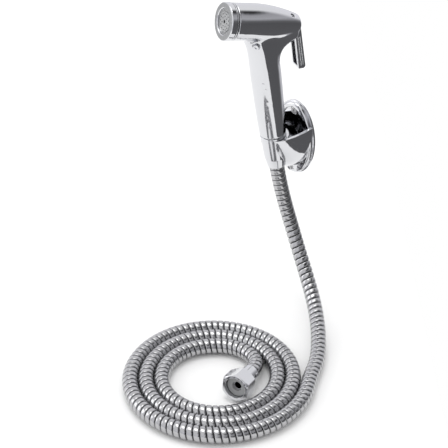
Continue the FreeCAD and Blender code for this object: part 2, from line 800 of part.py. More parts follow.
def make_trigger():
    """Channel-section lever with side grooves, a centre rib and a pad that pushes the stem."""
    width = size("trigger_width")
    wall = size("trigger_wall")
    back = size("trigger_back")
    foot = size("trigger_foot")
    head = size("trigger_head")
    front = back - size("trigger_depth")
    pivot_y, pivot_z = pivot_in_handset()
    profile = [(pivot_y - 2.6, pivot_z - 1.4), (front, head - 11), (front, foot + 1.2), (back, foot),
               (back - 0.7, head - 12), (back - 0.8, head + 1.3), (pivot_y + 2.4, pivot_z - 2.7),
               (pivot_y, pivot_z + 2.4)]
    lever = plate_from("lever_slab", "YZ_Plane", profile, width)
    lever = rounded("lever_soft", lever, size("trigger_round"),
                    lambda edge: edge.BoundBox.ZMax < float(foot) + 0.1 and edge.BoundBox.YLength < 0.1)
    channel_profile = [(front - 10, pivot_z - 1.3), (back - 1.2 - wall, head + 0.7),
                       (back - 0.7 - wall, head - 12), (back - wall, foot + wall + 1.4),
                       (front - 10, foot + wall + 1.4)]
    channel = plate_from("lever_channel", "YZ_Plane", channel_profile, width - wall * 2)
    rib = plate_from("lever_rib", "YZ_Plane",
                     [(front + 1.6, foot + 3), (back - 0.5, foot + 3), (back - 1.2, head - 12),
                      (front + 1.6, head - 12)], 1.2)
    grooves = []
    for index in range(2):
        near = wall + 0.2 + index * 1.9
        strip = [(back - near - 1.0, foot + 4), (back - near, foot + 4), (back - near - 0.6, head - 14),
                 (back - near - 1.6, head - 14)]
        groove = plate_from(f"side_groove_{index}", "YZ_Plane", strip, width + 2)
        core = plate_from(f"side_core_{index}", "YZ_Plane", strip, width - 0.8)
        grooves.append(cut(f"side_groove_pair_{index}", groove, core))
    pad_face = -size("stem_reach") - 0.1
    pad = moved(block("stem_pad", (-3, 3), (-2.4, 3.2), (pad_face - 1.4, pad_face)), barrel_in_handset)
    hub = cross_rod("lever_hub", size("boss_d"), width, pivot_y, pivot_z)
    pin_way = cross_rod("lever_pin_way", size("pin_d") + size("pin_gap") * 2, width * 2, pivot_y, pivot_z)
    hollowed = cut("lever_hollowed", lever, channel)
    whole = join("lever_whole", hollowed, rib, pad, hub)
    finish(cut("lever", whole, pin_way, *grooves), "trigger_lever", handset_frame)
    pin = cross_rod("pin_rod", size("pin_d"), size("pin_length"), size("pivot_up"), -size("pivot_back"))
    finish(pin, "trigger_pin", barrel_frame)


# ---------------------------------------------------------------- hose

# Centre line of the hanging run, from just under the cone nut down to the outer turn of the coil.
DROP_ROUTE = [
    (0.0, -25.2, -22.1),
    (1.3, -21.9, -40.0),
    (5.4, -18.9, -61.0),
    (13.6, -17.9, -83.0),
    (26.6, -20.8, -104.4),
    (43.0, -27.2, -122.0),
    (61.9, -37.7, -135.9),
    (82.0, -53.8, -144.4),
    (101.0, -73.4, -149.2),
    (115.0, -92.0, -150.8),
]
# Centre line of the inner end in the coil's frame, from where the coil ends to the supply sleeve.
INNER_ROUTE = [
    (13.5, 43.0, 7.0),
    (25.3, 36.3, 7.1),
    (33.8, 26.0, 7.5),
    (36.6, 12.6, 8.7),
]


def arc_route(points):
    """Straight runs joined by tangent arcs, each arc as large as its two runs allow."""
    knots = [Vector(*p) for p in points]
    edges = []
    radii = []
    start = knots[0]
    for before, knot, after in zip(knots, knots[1:], knots[2:]):
        arriving = knot - before
        leaving = after - knot
        reach = 0.45 * min(arriving.Length, leaving.Length)
        half_turn = arriving.getAngle(leaving) / 2
        radii.append(reach / math.tan(half_turn))
        arc_start = knot - arriving * (reach / arriving.Length)
        arc_end = knot + leaving * (reach / leaving.Length)
        inward = leaving * (1 / leaving.Length) - arriving * (1 / arriving.Length)
        sag = radii[-1] * (1 / math.cos(half_turn) - 1)
        middle = knot + inward * (sag / inward.Length)
        edges.append(Part.LineSegment(start, arc_start).toShape())
        edges.append(Part.Arc(arc_start, middle, arc_end).toShape())
        start = arc_end
    edges.append(Part.LineSegment(start, knots[-1]).toShape())
    return Part.Wire(edges), radii


def hose_run(label, points, placement=Placement()):
    """A plain tube of the hose's outside along a route; prints its length and arc radii."""
    path, radii = arc_route(points)
    first = Vector(*points[0])
    along = Vector(*points[1]) - first
    radius = float(size("hose_d")) / 2
    section = Part.Wire(Part.Circle(first, along, radius).toShape())
    solid = path.makePipeShell([section], True, False)
    expected = math.pi * radius**2 * path.Length
    print(f"{label}: length {path.Length:.1f}, volume ratio {solid.Volume / expected:.4f}, "
          f"arc radii {[round(r) for r in radii]}")
    finish(shaped(label + "_tube", solid), label, placement)
    return path.Length


def coil_point(turns, offset=0.0, level=0.0):
    """On the coil's centre line, or beside it, after some turns from its outer start."""
    angle = -2 * math.pi * turns
    radius = float(size("coil_radius")) - float(size("coil_pitch")) * turns + offset
    return Vector(radius * math.cos(angle), radius * math.sin(angle), level)


def spiral(first, last, offset):
    steps = 36
    curve = Part.BSplineCurve()
    curve.interpolate([coil_point(first + (last - first) * n / steps, offset) for n in range(steps + 1)])
    return curve.toShape()


def make_hose():
    """The hanging run, the flat coil on the floor and its inner end."""
    hose_r = float(size("hose_d")) / 2
    turns = float(size("coil_turns"))
    landing = coil_frame.multVec(coil_point(0, 0, hose_r))
    total = hose_run("hose_drop", DROP_ROUTE + [tuple(landing)])

    outer = spiral(0, 1, hose_r)
    outer_step = Part.LineSegment(coil_point(1, hose_r), coil_point(0, hose_r)).toShape()
    inner = spiral(turns - 1, turns, -hose_r)
    inner_step = Part.LineSegment(coil_point(turns, -hose_r), coil_point(turns - 1, -hose_r)).toShape()
    outline = Part.Face([Part.Wire([outer, outer_step]), Part.Wire([inner, inner_step])])
    outline.validate()
    finish(shaped("hose_coil_disc", outline.extrude(Vector(0, 0, hose_r * 2))), "hose_coil", coil_frame)
    steps = 720
    ring_points = [coil_point(turns * n / steps) for n in range(steps + 1)]
    total += sum((b - a).Length for a, b in zip(ring_points, ring_points[1:]))

    inner_points = [tuple(coil_point(turns, 0, hose_r))] + INNER_ROUTE + [tuple(SUPPLY_START)]
    total += hose_run("hose_inner_end", inner_points, coil_frame)
    print(f"hose length in all: {total:.0f}")


# ---------------------------------------------------------------- supply end

SUPPLY_START = Vector(31.0, 0.5, float(size("supply_rise")))
tip_angle = math.radians(float(size("supply_tip")))
SUPPLY_WAY = Vector(-0.469 * math.cos(tip_angle), -0.883 * math.cos(tip_angle), math.sin(tip_angle))
supply_frame = coil_frame * Placement(SUPPLY_START, Rotation(Z_AXIS, SUPPLY_WAY))


def make_supply_end():
    """Crimped sleeve, tail, free hex nut and washer that join the hose to the water supply."""
    gap = size("pin_gap")
    sleeve = size("sleeve_length")
    hose = size("hose_d") / 2
    bore = size("hose_bore") / 2 - 1.2
    sleeve_section = [(size("tail_d") / 2, 0), (hose + 0.4, 0), (size("sleeve_d") / 2, 1.0),
                      (size("sleeve_d") / 2, sleeve - 1.2), (hose, sleeve), (size("tail_d") / 2, sleeve)]
    finish(turned("supply_sleeve_body", sleeve_section), "supply_sleeve", supply_frame)

    back = size("supply_nut_back")
    length = size("supply_nut_length")
    flange_low = back + length - size("washer_inset") - size("supply_washer") - size("tail_flange")
    flange_d = size("supply_thread_d") - 0.8
    tail_r = size("tail_d") / 2
    tail = [(bore, 1.2), (tail_r, 1.2), (tail_r, flange_low), (flange_d / 2, flange_low),
            (flange_d / 2, flange_low + size("tail_flange")), (bore, flange_low + size("tail_flange"))]
    finish(turned("supply_tail_body", tail), "supply_tail", supply_frame)
    washer_low = flange_low + size("tail_flange")
    finish(tube("supply_washer_ring", flange_d, size("supply_washer_bore"), washer_low,
                washer_low + size("supply_washer")), "supply_washer", supply_frame)

    across = size("supply_nut_flats")
    prism = doc.addObject("Part::Prism", "nut_hexagon")
    prism.Polygon = 6
    bind(prism, Circumradius=across / 2 * (1 / math.cos(math.pi / 6)), Height=length)
    stand(prism, 0, 0, back)
    corner = across / 2 * (1 / math.cos(math.pi / 6))
    face = across / 2 - 0.4
    turned_form = turned("nut_chamfer_form",
                         [(0, back), (face, back), (corner + 0.05, back + 1.5),
                          (corner + 0.05, back + length - 1.5), (face, back + length),
                          (0, back + length)])
    blank = common("nut_blank", prism, turned_form)
    thread = rod("nut_thread", size("supply_thread_d"), flange_low, back + length + 1)
    relief = rod("nut_relief", size("supply_thread_d") + size("thread_relief") * 2, flange_low - gap,
                 back + length - size("washer_inset"))
    neck = rod("nut_neck", size("tail_d") + gap * 2, back - 1, flange_low)
    finish(cut("supply_nut_cut", blank, thread, relief, neck), "supply_nut", supply_frame)


# ---------------------------------------------------------------- build, check and write

make_wall_bracket()
make_cone_nut()
make_hose_top()
make_inlet()
make_handset_body()
make_throat_plug()
make_valve(make_nozzle())
make_trigger()
make_hose()
make_supply_end()
doc.recompute()

faults = [item.Name for item in doc.Objects if {"Invalid", "Error"} & set(item.State)]
faults += [item.Label for item in finished if item.Shape.isNull() or not item.Shape.isValid()]
faults += [item.Label for item in finished if not item.Shape.Solids]
if faults:
    raise RuntimeError(f"objects that did not build: {faults}")

os.makedirs("parts", exist_ok=True)
for item in finished:
    item.Shape.exportStep(os.path.join("parts", item.Label + ".step"))
print(f"{len(finished)} sub-parts written")
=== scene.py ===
import math

import bmesh
import bpy
from mathutils import Matrix, Vector


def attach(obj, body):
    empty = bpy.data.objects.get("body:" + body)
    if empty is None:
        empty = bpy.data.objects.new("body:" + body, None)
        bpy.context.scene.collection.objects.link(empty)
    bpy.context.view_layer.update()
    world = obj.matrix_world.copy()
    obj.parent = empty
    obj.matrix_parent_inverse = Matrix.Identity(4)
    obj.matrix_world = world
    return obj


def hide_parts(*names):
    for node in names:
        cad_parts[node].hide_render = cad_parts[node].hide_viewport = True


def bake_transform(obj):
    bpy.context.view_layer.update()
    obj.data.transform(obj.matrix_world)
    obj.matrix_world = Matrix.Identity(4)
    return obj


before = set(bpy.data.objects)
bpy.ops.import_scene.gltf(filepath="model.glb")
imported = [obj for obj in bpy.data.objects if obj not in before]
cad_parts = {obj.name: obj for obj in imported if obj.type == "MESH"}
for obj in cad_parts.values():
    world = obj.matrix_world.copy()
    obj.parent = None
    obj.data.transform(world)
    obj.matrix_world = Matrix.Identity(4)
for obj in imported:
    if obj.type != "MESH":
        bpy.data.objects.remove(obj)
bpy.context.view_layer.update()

bpy.ops.object.select_all(action="DESELECT")


# ---------------------------------------------------------------- studio
# A pale paper floor that runs up to a pale surround, a soft box overhead and one on the nozzle's
# side. The surround is darker on one side and low down, which is what polished chrome picks up.

FLOOR_Z = -0.1578
FLOOR_DROP = 0.0009      # the sheet lies this far under the turns, clear of their undersides
EIGHTH_TURN = math.radians(45.0)
camera_data = bpy.data.cameras.new("studio_camera")
camera_data.lens = 108.48
camera_data.sensor_width = 36.0
camera = bpy.data.objects.new("studio_camera", camera_data)
camera.location = (0.7321, -0.8261, 0.5922)
camera.rotation_euler = (math.radians(58.0), 0.0, EIGHTH_TURN)
bpy.context.scene.collection.objects.link(camera)
bpy.context.scene.camera = camera
bpy.context.scene.view_settings.view_transform = "Standard"

# The sheet is turned to the camera, and ends just past the object on its right and in front.
FLOOR_RIGHT, FLOOR_NEAR = 0.12, 0.75
FLOOR_WIDTH, FLOOR_DEPTH = 1.90, 2.20
bpy.ops.mesh.primitive_plane_add(size=1.0, rotation=(0.0, 0.0, EIGHTH_TURN))
floor = bpy.context.object
floor.name = "studio_floor"
floor.scale = (FLOOR_WIDTH, FLOOR_DEPTH, 1.0)
floor.location = (Matrix.Rotation(EIGHTH_TURN, 3, "Z")
                  @ Vector((FLOOR_RIGHT - FLOOR_WIDTH / 2, FLOOR_DEPTH / 2 - FLOOR_NEAR,
                            FLOOR_Z - FLOOR_DROP)))
paper = bpy.data.materials.new("pale_paper")
paper.use_nodes = True
paper_shader = paper.node_tree.nodes["Principled BSDF"]
paper_shader.inputs["Base Color"].default_value = (0.93, 0.93, 0.93, 1)
paper_shader.inputs["Roughness"].default_value = 0.9
floor.data.materials.append(paper)


def soft_box(name, place, target, width, height, power):
    lamp = bpy.data.lights.new(name, "AREA")
    lamp.shape = "RECTANGLE"
    lamp.size = width
    lamp.size_y = height
    lamp.energy = power
    holder = bpy.data.objects.new(name, lamp)
    holder.location = place
    holder.rotation_euler = (Vector(target) - Vector(place)).to_track_quat("-Z", "Y").to_euler()
    bpy.context.scene.collection.objects.link(holder)


soft_box("overhead_box", (-0.2, -0.2, 1.7), (0.0, -0.1, 0.0), 0.9, 0.9, 8.0)
soft_box("nozzle_side_box", (-1.3, -1.1, 0.6), (0.0, -0.05, 0.05), 0.8, 1.3, 5.0)

# The surround is white to the eye. Only reflections see its other side, whose brightness goes by
# compass bearing, and by height above the floor.
COLOUR_A, COLOUR_B, COLOUR_OUT = 6, 7, 2      # a colour mix node's sockets, by their place
world = bpy.data.worlds.new("studio_surround")
bpy.context.scene.world = world
world.use_nodes = True
sky_nodes = world.node_tree.nodes
sky_links = world.node_tree.links


def sky_node(kind, **values):
    node = sky_nodes.new(kind)
    for name, value in values.items():
        setattr(node, name, value)
    return node


def shade_ramp(source, stops):
    ramp_node = sky_node("ShaderNodeValToRGB")
    ramp = ramp_node.color_ramp
    while len(ramp.elements) < len(stops):
        ramp.elements.new(0.5)
    for element, (position, shade) in zip(ramp.elements, stops):
        element.position = position
        element.color = (shade, shade, min(shade * 1.05, 1.0), 1)
    sky_links.new(source, ramp_node.inputs["Fac"])
    return ramp_node.outputs["Color"]


bearing_of = sky_node("ShaderNodeTexCoord")
parts_of = sky_node("ShaderNodeSeparateXYZ")
sky_links.new(bearing_of.outputs["Generated"], parts_of.inputs["Vector"])
height_share = sky_node("ShaderNodeMapRange")
height_share.inputs["From Min"].default_value = -1.0
sky_links.new(parts_of.outputs["Z"], height_share.inputs["Value"])
dark_half = shade_ramp(height_share.outputs["Result"], [
    (0.00, 0.13), (0.52, 0.11), (0.62, 0.16), (0.72, 0.50), (0.82, 0.42), (0.87, 0.05),
    (0.93, 0.05), (0.95, 1.0)])
bright_half = shade_ramp(height_share.outputs["Result"], [
    (0.00, 0.62), (0.45, 0.70), (0.55, 0.95), (1.00, 1.0)])
level_way = sky_node("ShaderNodeVectorMath", operation="MULTIPLY")
level_way.inputs[1].default_value = (1.0, 1.0, 0.0)
sky_links.new(bearing_of.outputs["Generated"], level_way.inputs[0])
level_unit = sky_node("ShaderNodeVectorMath", operation="NORMALIZE")
sky_links.new(level_way.outputs["Vector"], level_unit.inputs[0])
dark_side = sky_node("ShaderNodeVectorMath", operation="DOT_PRODUCT")
dark_side.inputs[1].default_value = (0.966, 0.259, 0.0)
sky_links.new(level_unit.outputs["Vector"], dark_side.inputs[0])
side_share = sky_node("ShaderNodeMapRange", interpolation_type="SMOOTHSTEP")
side_share.inputs["From Min"].default_value = 0.30
side_share.inputs["From Max"].default_value = 0.72
sky_links.new(dark_side.outputs["Value"], side_share.inputs["Value"])
halves = sky_node("ShaderNodeMix", data_type="RGBA")
sky_links.new(side_share.outputs["Result"], halves.inputs["Factor"])
sky_links.new(bright_half, halves.inputs[COLOUR_A])
sky_links.new(dark_half, halves.inputs[COLOUR_B])
rays = sky_node("ShaderNodeLightPath")
surround = sky_node("ShaderNodeMix", data_type="RGBA")
sky_links.new(rays.outputs["Is Glossy Ray"], surround.inputs["Factor"])
surround.inputs[COLOUR_A].default_value = (1.0, 1.0, 1.0, 1)
sky_links.new(halves.outputs[COLOUR_OUT], surround.inputs[COLOUR_B])
sky_links.new(surround.outputs[COLOUR_OUT], sky_nodes["Background"].inputs["Color"])
sky_nodes["Background"].inputs["Strength"].default_value = 1.0


# ---------------------------------------------------------------- shower hose
# Double-interlock stainless strip wound into a hose: rounded bands, one to each turn of the strip,
# with a narrow dark gap between them. It hangs from the cone nut, lies on the floor in flat
# touching turns, and its inner end rises to the supply nut.

HOSE_D = 0.014
BAND_PITCH = 0.0056
COIL_CENTRE = Vector((0.0648, -0.1692, FLOOR_Z))
COIL_RADIUS = 0.0835
COIL_PITCH = 0.0141
COIL_TURNS = 2.75
POINTS_PER_TURN = 16
HANGING_RUN = [
    (0.0, -0.0252, -0.0221),
    (0.0013, -0.0219, -0.0400),
    (0.0054, -0.0189, -0.0610),
    (0.0136, -0.0179, -0.0830),
    (0.0266, -0.0208, -0.1044),
    (0.0430, -0.0272, -0.1220),
    (0.0619, -0.0377, -0.1359),
    (0.0820, -0.0538, -0.1444),
    (0.1010, -0.0734, -0.1492),
    (0.1150, -0.0920, -0.1508),
]
# The inner end, from the coil's centre and along the coil's own bearing.
INNER_RUN = [
    (0.0135, 0.0430, 0.0070),
    (0.0253, 0.0363, 0.0071),
    (0.0338, 0.0260, 0.0075),
    (0.0366, 0.0126, 0.0087),
    (0.0310, 0.0005, 0.0106),
]
coil_bearing = Matrix.Rotation(EIGHTH_TURN, 3, "Z")


def coil_place(turns):
    angle = -2 * math.pi * turns
    radius = COIL_RADIUS - COIL_PITCH * turns
    spot = Vector((radius * math.cos(angle), radius * math.sin(angle), HOSE_D / 2))
    return COIL_CENTRE + coil_bearing @ spot


hose_points = [Vector(p) for p in HANGING_RUN]
hose_points += [coil_place(step / POINTS_PER_TURN)
                for step in range(int(COIL_TURNS * POINTS_PER_TURN) + 1)]
hose_points += [COIL_CENTRE + coil_bearing @ Vector(p) for p in INNER_RUN]

route = bpy.data.curves.new("hose_route", "CURVE")
route.dimensions = "3D"
route.resolution_u = 24
line = route.splines.new("NURBS")
line.points.add(len(hose_points) - 1)
for control, point in zip(line.points, hose_points):
    control.co = (*point, 1.0)
line.order_u = 3
line.use_endpoint_u = True
route_object = bpy.data.objects.new("hose_route", route)
bpy.context.scene.collection.objects.link(route_object)
bpy.context.view_layer.update()
laid_out = route_object.evaluated_get(bpy.context.evaluated_depsgraph_get())
centre_line = [v.co.copy() for v in bpy.data.meshes.new_from_object(laid_out).vertices]
bpy.data.objects.remove(route_object)

travelled = [0.0]
for before, after in zip(centre_line, centre_line[1:]):
    travelled.append(travelled[-1] + (after - before).length)
hose_length = travelled[-1]


def hose_spot(distance):
    """The point on the hose's centre line at a distance from the cone nut."""
    distance = min(max(distance, 0.0), hose_length)
    low, high = 0, len(travelled) - 1
    while high - low > 1:
        middle = (low + high) // 2
        if travelled[middle] <= distance:
            low = middle
        else:
            high = middle
    share = (distance - travelled[low]) / (travelled[high] - travelled[low])
    return centre_line[low].lerp(centre_line[high], share)


# One band: how far along the pitch, and the radius there. The strip is wound as a helix, so each
# ring of points climbs one pitch on its way round and joins the ring a whole band further on.
BAND = [(0.00, 0.00590), (0.04, 0.00600), (0.07, 0.00665), (0.13, 0.00690), (0.27, 0.00700),
        (0.66, 0.00700), (0.82, 0.00690), (0.89, 0.00665), (0.93, 0.00600), (0.97, 0.00590)]
AROUND = 22
GROOVE_DEPTH = 0.00110
LOOK_AHEAD = 0.0015      # the hose's direction is taken over this far each way
bands = round(hose_length / BAND_PITCH)
pitch = hose_length / bands
rings = [((band + share) * pitch, radius)
         for band in range(-1, bands + 1) for share, radius in BAND]
side = Vector((1, 0, 0))
frames = []
for number in range(len(rings) + len(BAND)):
    band, step = divmod(number, len(BAND))
    distance = (band - 1 + BAND[step][0]) * pitch
    inside = min(max(distance, LOOK_AHEAD), hose_length - LOOK_AHEAD)
    ahead = (hose_spot(inside + LOOK_AHEAD) - hose_spot(inside - LOOK_AHEAD)).normalized()
    side = (side - ahead * side.dot(ahead)).normalized()
    frames.append((side.copy(), ahead.cross(side)))
hose_vertices, band_radii = [], []
for number, (distance, radius) in enumerate(rings):
    for step in range(AROUND):
        share = step / AROUND
        further, wall, frame_here = distance + share * pitch, radius, frames[number]
        if further <= 0.0 or further >= hose_length:      # cut square, at the strip's root
            wall, frame_here = BAND[0][1], frames[0 if further <= 0.0 else -1]
        flat, up = frame_here
        place = hose_spot(further)
        turn = 2 * math.pi * share
        hose_vertices.append(place + (flat * math.cos(turn) + up * math.sin(turn)) * wall)
        band_radii.append(wall)
hose_faces = []
for ring in range(len(rings) - len(BAND) - 1):
    for step in range(AROUND - 1):
        corner = ring * AROUND + step
        hose_faces.append((corner, corner + 1, corner + AROUND + 1, corner + AROUND))
    last = ring * AROUND + AROUND - 1
    joined = (ring + len(BAND)) * AROUND
    hose_faces.append((last, joined, joined + AROUND, last + AROUND))
hose_mesh = bpy.data.meshes.new("shower_hose")
hose_mesh.from_pydata(hose_vertices, [], hose_faces)
gap_depth = hose_mesh.attributes.new("gap", "FLOAT", "POINT")
gap_depth.data.foreach_set("value", [(HOSE_D / 2 - wall) / GROOVE_DEPTH for wall in band_radii])
hose = bpy.data.objects.new("shower_hose", hose_mesh)
bpy.context.scene.collection.objects.link(hose)
shape = bmesh.new()
shape.from_mesh(hose_mesh)
bmesh.ops.remove_doubles(shape, verts=shape.verts, dist=0.00001)
bmesh.ops.dissolve_degenerate(shape, edges=shape.edges, dist=0.00001)
bmesh.ops.delete(shape, geom=[v for v in shape.verts if not v.link_faces], context="VERTS")
bmesh.ops.holes_fill(shape, edges=[e for e in shape.edges if e.is_boundary], sides=0)
bmesh.ops.recalc_face_normals(shape, faces=shape.faces)
shape.to_mesh(hose_mesh)
shape.free()
for face in hose_mesh.polygons:
    face.use_smooth = True


# Finishes are built from two shared groups: a fine grain that varies gloss and relief, and wear
# that finds a piece's edges and softens them.
def node_group(name, inputs, outputs):
    group = bpy.data.node_groups.new(name, "ShaderNodeTree")
    for label, kind, value in inputs:
        socket = group.interface.new_socket(name=label, in_out="INPUT", socket_type=kind)
        socket.default_value = value
    for label, kind in outputs:
        group.interface.new_socket(name=label, in_out="OUTPUT", socket_type=kind)
    return group, group.nodes.new("NodeGroupInput"), group.nodes.new("NodeGroupOutput")


grain_group, grain_in, grain_out = node_group(
    "fine_grain",
    [("Scale", "NodeSocketFloat", 200.0), ("Smoothest", "NodeSocketFloat", 0.05),
     ("Roughest", "NodeSocketFloat", 0.12)],
    [("Roughness", "NodeSocketFloat"), ("Height", "NodeSocketFloat")])
place = grain_group.nodes.new("ShaderNodeTexCoord")
broad = grain_group.nodes.new("ShaderNodeTexNoise")
broad.inputs["Detail"].default_value = 3.0
tight = grain_group.nodes.new("ShaderNodeTexNoise")
tight.inputs["Detail"].default_value = 2.0
finer = grain_group.nodes.new("ShaderNodeMath")
finer.operation = "MULTIPLY"
finer.inputs[1].default_value = 9.0
spread = grain_group.nodes.new("ShaderNodeMapRange")
spread.inputs["From Min"].default_value = 0.3
spread.inputs["From Max"].default_value = 0.7
join = grain_group.links.new
join(place.outputs["Object"], broad.inputs["Vector"])
join(place.outputs["Object"], tight.inputs["Vector"])
join(grain_in.outputs["Scale"], broad.inputs["Scale"])
join(grain_in.outputs["Scale"], finer.inputs[0])
join(finer.outputs[0], tight.inputs["Scale"])
join(broad.outputs["Fac"], spread.inputs["Value"])
join(grain_in.outputs["Smoothest"], spread.inputs["To Min"])
join(grain_in.outputs["Roughest"], spread.inputs["To Max"])
join(spread.outputs["Result"], grain_out.inputs["Roughness"])
join(tight.outputs["Fac"], grain_out.inputs["Height"])

wear_group, wear_in, wear_out = node_group(
    "edge_wear",
    [("Width", "NodeSocketFloat", 0.0005), ("Strength", "NodeSocketFloat", 1.0)],
    [("Mask", "NodeSocketFloat"), ("Normal", "NodeSocketVector")])
softened = wear_group.nodes.new("ShaderNodeBevel")
softened.samples = 6
facing = wear_group.nodes.new("ShaderNodeNewGeometry")
agreement = wear_group.nodes.new("ShaderNodeVectorMath")
agreement.operation = "DOT_PRODUCT"
departure = wear_group.nodes.new("ShaderNodeMath")
departure.operation = "SUBTRACT"
departure.inputs[0].default_value = 1.0
strengthened = wear_group.nodes.new("ShaderNodeMath")
strengthened.operation = "MULTIPLY"
strengthened.use_clamp = True
join = wear_group.links.new
join(wear_in.outputs["Width"], softened.inputs["Radius"])
join(softened.outputs["Normal"], agreement.inputs[0])
join(facing.outputs["Normal"], agreement.inputs[1])
join(agreement.outputs["Value"], departure.inputs[1])
join(departure.outputs[0], strengthened.inputs[0])
join(wear_in.outputs["Strength"], strengthened.inputs[1])
join(strengthened.outputs[0], wear_out.inputs["Mask"])
join(softened.outputs["Normal"], wear_out.inputs["Normal"])


def finish_of(name, colour, worn, metallic, gloss, grain_scale, relief, edge, wear):
    """A finish: its colour and the colour its edges wear to, gloss range, grain and edge radius."""
    material = bpy.data.materials.new(name)
    material.use_nodes = True
    tree = material.node_tree
    shader = tree.nodes["Principled BSDF"]
    shader.inputs["Metallic"].default_value = metallic
    grain = tree.nodes.new("ShaderNodeGroup")
    grain.node_tree = grain_group
    grain.inputs["Scale"].default_value = grain_scale
    grain.inputs["Smoothest"].default_value, grain.inputs["Roughest"].default_value = gloss
    edges = tree.nodes.new("ShaderNodeGroup")
    edges.node_tree = wear_group
    edges.inputs["Width"].default_value = edge
    edges.inputs["Strength"].default_value = wear
    tint = tree.nodes.new("ShaderNodeMix")
    tint.data_type = "RGBA"
    tint.inputs[COLOUR_A].default_value = (*colour, 1)
    tint.inputs[COLOUR_B].default_value = (*worn, 1)
    relief_node = tree.nodes.new("ShaderNodeBump")
    relief_node.inputs["Strength"].default_value = relief
    relief_node.inputs["Distance"].default_value = 0.0001
    tree.links.new(edges.outputs["Mask"], tint.inputs["Factor"])
    tree.links.new(tint.outputs[COLOUR_OUT], shader.inputs["Base Color"])
    tree.links.new(grain.outputs["Roughness"], shader.inputs["Roughness"])
    tree.links.new(grain.outputs["Height"], relief_node.inputs["Height"])
    tree.links.new(edges.outputs["Normal"], relief_node.inputs["Normal"])
    tree.links.new(relief_node.outputs["Normal"], shader.inputs["Normal"])
    return material


def give(material, *names):
    for name in names:
        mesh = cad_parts[name].data
        mesh.materials.clear()
        mesh.materials.append(material)


hose_steel = finish_of("hose_steel", (0.47, 0.47, 0.48), (0.60, 0.60, 0.61),
                       metallic=1.0, gloss=(0.12, 0.24), grain_scale=160.0,
                       relief=0.12, edge=0.0002, wear=0.6)
# Painted shade: the base colour is mixed towards near black by the gap attribute, so the gaps
# between the bands are darkened where shade falls.
tree = hose_steel.node_tree
steel_shader = tree.nodes["Principled BSDF"]
clean = steel_shader.inputs["Base Color"].links[0].from_socket
gap = tree.nodes.new("ShaderNodeAttribute")
gap.attribute_name = "gap"
gap_painted_shade = tree.nodes.new("ShaderNodeMix")
gap_painted_shade.data_type = "RGBA"
gap_painted_shade.inputs[COLOUR_B].default_value = (0.035, 0.035, 0.037, 1)
tree.links.new(gap.outputs["Fac"], gap_painted_shade.inputs["Factor"])
tree.links.new(clean, gap_painted_shade.inputs[COLOUR_A])
tree.links.new(gap_painted_shade.outputs[COLOUR_OUT], steel_shader.inputs["Base Color"])
hose_mesh.materials.append(hose_steel)
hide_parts("hose_stub_top", "hose_drop", "hose_coil", "hose_inner_end")
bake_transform(hose)
give(hose_steel, "crimp_sleeve_top", "hose_stub_top", "hose_drop", "hose_coil", "hose_inner_end")


# ---------------------------------------------------------------- wall holder
# Die-cast plate and cup in one piece, polished and chromed, held to the wall by two countersunk
# screws. The plate's middle is a shallow recess, and the cup's pocket is open at the top.

chrome = finish_of("bright_chrome", (0.66, 0.665, 0.685), (0.80, 0.80, 0.81),
                   metallic=1.0, gloss=(0.035, 0.085), grain_scale=60.0,
                   relief=0.02, edge=0.0006, wear=0.5)
give(chrome, "wall_bracket")

screw_steel = finish_of("screw_steel", (0.56, 0.56, 0.57), (0.72, 0.72, 0.72),
                        metallic=1.0, gloss=(0.22, 0.38), grain_scale=420.0,
                        relief=0.15, edge=0.0002, wear=0.9)
PLATE_FACE_Y = -0.0044
HEAD_RADIUS, HEAD_DEPTH = 0.0036, 0.0012
HEAD_RIM, HEAD_CROWN = 0.0004, 0.00025
SLOT_SIZE, SLOT_SUNK = (0.0042, 0.0013, 0.0008), 0.0004
for mark, level in (("upper", 0.028), ("lower", -0.032)):
    bpy.ops.object.select_all(action="DESELECT")
    bpy.ops.mesh.primitive_cylinder_add(vertices=32, radius=HEAD_RADIUS, depth=HEAD_DEPTH,
                                        location=(0.0, PLATE_FACE_Y + HEAD_DEPTH, level),
                                        rotation=(math.radians(90.0), 0.0, 0.0))
    screw = bpy.context.object
    screw.name = "holder_screw_" + mark
    bpy.ops.object.transform_apply(location=True, rotation=True, scale=True)
    head = bmesh.new()
    head.from_mesh(screw.data)
    front = min(head.faces, key=lambda face: face.calc_center_median().y)
    bmesh.ops.inset_region(head, faces=[front], thickness=HEAD_RIM)
    bmesh.ops.translate(head, verts=front.verts, vec=(0.0, -HEAD_CROWN, 0.0))
    head.to_mesh(screw.data)
    head.free()
    slots = []
    for turn in (25.0, 115.0):
        bpy.ops.mesh.primitive_cube_add(size=1.0, location=(0.0, PLATE_FACE_Y + SLOT_SUNK, level),
                                        rotation=(0.0, math.radians(turn), 0.0))
        slot = bpy.context.object
        slot.dimensions = SLOT_SIZE
        bpy.ops.object.transform_apply(location=True, rotation=True, scale=True)
        driver_cut = screw.modifiers.new("driver_slot", "BOOLEAN")
        driver_cut.operation = "DIFFERENCE"
        driver_cut.object = slot
        slots.append(slot)
    bpy.context.view_layer.objects.active = screw
    for modifier in [m.name for m in screw.modifiers]:
        bpy.ops.object.modifier_apply(modifier=modifier)
    for slot in slots:
        bpy.data.objects.remove(slot)
    screw.data.materials.append(screw_steel)
    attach(screw, "bracket")


# ---------------------------------------------------------------- cone nut and inlet
# Turned brass nut, chromed outside, that clamps the hose's flanged tail to the hand spray. A thin
# trim ring and a dark seam part it from the grip.

